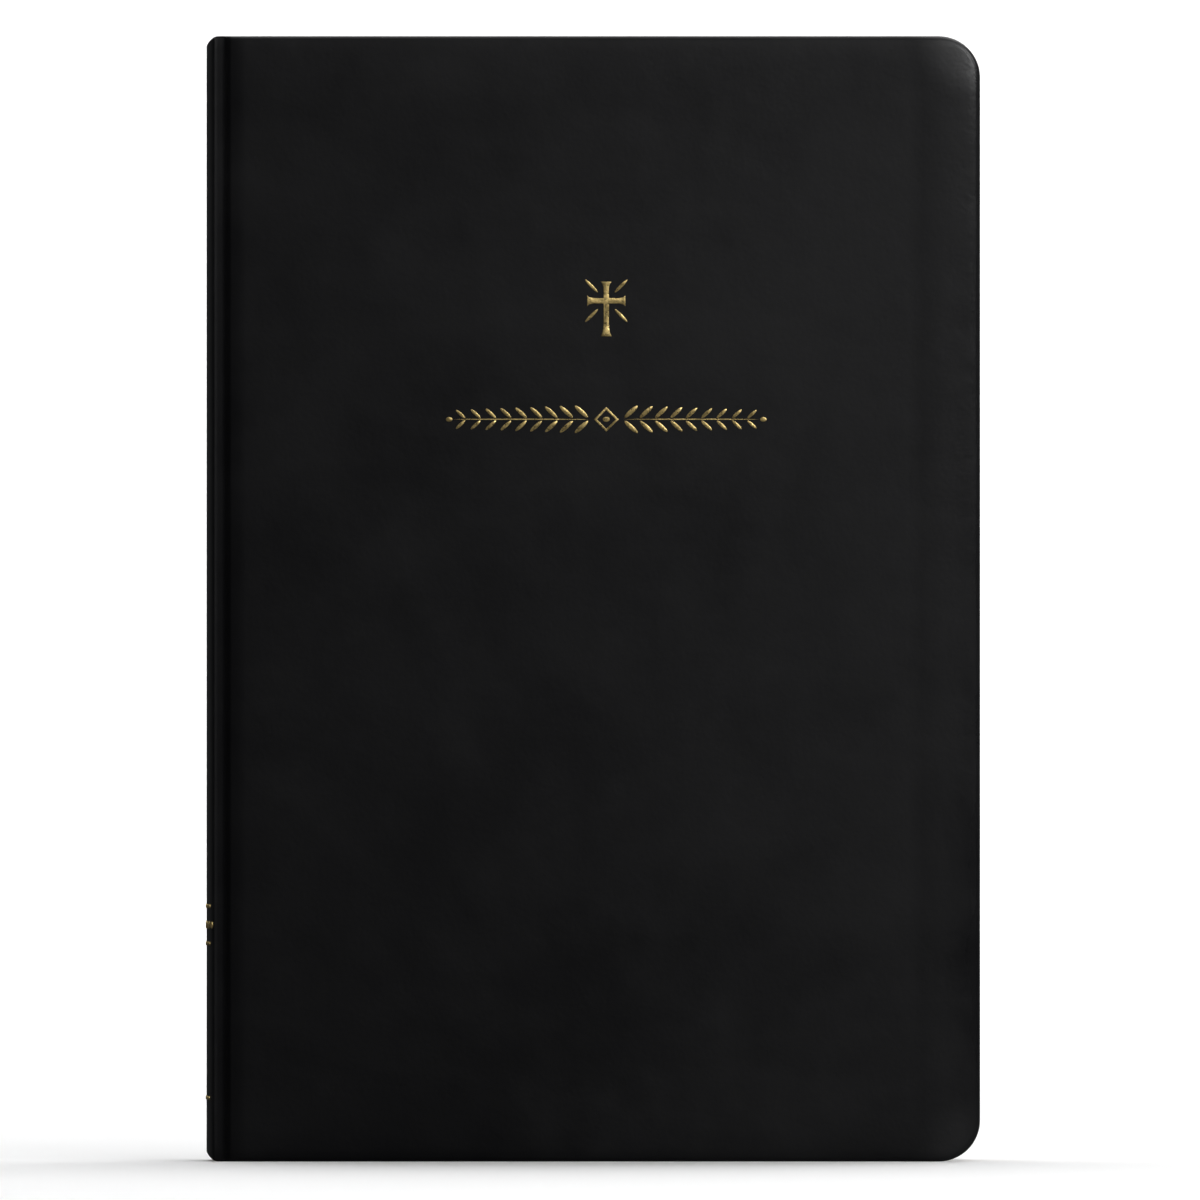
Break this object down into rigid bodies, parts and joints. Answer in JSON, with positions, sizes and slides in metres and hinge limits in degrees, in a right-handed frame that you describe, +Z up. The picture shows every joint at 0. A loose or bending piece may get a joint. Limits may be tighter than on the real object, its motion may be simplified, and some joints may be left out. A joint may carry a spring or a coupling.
{
  "type": "bible",
  "caption": "Limp-bound bible: sewn text block with a rounded spine in a soft black cover with round fore-edge corners; covers, halves and centre leaves open.",
  "frame": {"origin": "centre of the closed book's footprint, on the plane that its tail edges stand on", "axes": "+X from the spine to the fore edge, -Y out of the front cover, +Z up to the head"},
  "size_m": [0.1614, 0.0264, 0.2346],
  "materials": {
    "cover_skin": "black imitation leather, smooth and satin, with gold foil blocked into it",
    "board": "plain card",
    "endpaper": "matt black paper",
    "bible_paper": "thin cream paper",
    "mull": "open gauze",
    "kraft": "brown kraft",
    "band": "gold silk",
    "ribbon": "red satin",
    "thread": "linen"
  },
  "bodies": {
    "back_half": {"section_13": "bible_paper", "section_14": "bible_paper", "section_15": "bible_paper", "section_16": "bible_paper", "section_17": "bible_paper", "section_18": "bible_paper", "section_19": "bible_paper", "section_20": "bible_paper", "section_21": "bible_paper", "section_22": "bible_paper", "section_23": "bible_paper", "section_24": "bible_paper", "mull_back": "mull", "spine_liner_back": "kraft", "headband_back": "band", "tailband_back": "band", "spine_skin_back": "cover_skin", "back_flyleaf": "endpaper", "sewing_thread": "thread", "ribbon_marker": "ribbon"},
    "front_half": {"section_01": "bible_paper", "section_02": "bible_paper", "section_03": "bible_paper", "section_04": "bible_paper", "section_05": "bible_paper", "section_06": "bible_paper", "section_07": "bible_paper", "section_08": "bible_paper", "section_09": "bible_paper", "section_10": "bible_paper", "section_11": "bible_paper", "section_12": "bible_paper", "mull_front": "mull", "spine_liner_front": "kraft", "headband_front": "band", "tailband_front": "band", "spine_skin_front": "cover_skin", "front_flyleaf": "endpaper"},
    "front_cover": {"front_skin": "cover_skin", "front_board": "board", "front_pastedown": "endpaper"},
    "back_cover": {"back_skin": "cover_skin", "back_board": "board", "back_pastedown": "endpaper"},
    "centre_leaf_1": {"centre_leaf_1": "bible_paper"},
    "centre_leaf_2": {"centre_leaf_2": "bible_paper"},
    "centre_leaf_3": {"centre_leaf_3": "bible_paper"},
    "centre_leaf_4": {"centre_leaf_4": "bible_paper"}
  },
  "joints": [
    {"name": "middle_opening", "type": "hinge", "parent": "back_half", "child": "front_half", "pos_m": [-0.08075, 0, 0.1173], "axis": [0, 0, 1], "range_deg": [-179, 0]},
    {"name": "front_cover_hinge", "type": "hinge", "parent": "front_half", "child": "front_cover", "pos_m": [-0.07585, -0.0133, 0.1173], "axis": [0, 0, 1], "range_deg": [-179, 0]},
    {"name": "back_cover_hinge", "type": "hinge", "parent": "back_half", "child": "back_cover", "pos_m": [-0.07585, 0.01472, 0.1173], "axis": [0, 0, 1], "range_deg": [0, 179]},
    {"name": "centre_leaf_1_turn", "type": "hinge", "parent": "back_half", "child": "centre_leaf_1", "pos_m": [-0.08075, 0, 0.1173], "axis": [0, 0, 1], "range_deg": [-180, 0]},
    {"name": "centre_leaf_2_turn", "type": "hinge", "parent": "back_half", "child": "centre_leaf_2", "pos_m": [-0.08075, 0, 0.1173], "axis": [0, 0, 1], "range_deg": [-180, 0]},
    {"name": "centre_leaf_3_turn", "type": "hinge", "parent": "back_half", "child": "centre_leaf_3", "pos_m": [-0.08075, 0, 0.1173], "axis": [0, 0, 1], "range_deg": [-180, 0]},
    {"name": "centre_leaf_4_turn", "type": "hinge", "parent": "back_half", "child": "centre_leaf_4", "pos_m": [-0.08075, 0, 0.1173], "axis": [0, 0, 1], "range_deg": [-180, 0]}
  ],
  "couplings": [
    {"joint": "centre_leaf_1_turn", "follows": "middle_opening", "ratio": 0.84},
    {"joint": "centre_leaf_2_turn", "follows": "middle_opening", "ratio": 0.6},
    {"joint": "centre_leaf_3_turn", "follows": "middle_opening", "ratio": 0.36},
    {"joint": "centre_leaf_4_turn", "follows": "middle_opening", "ratio": 0.14}
  ]
}
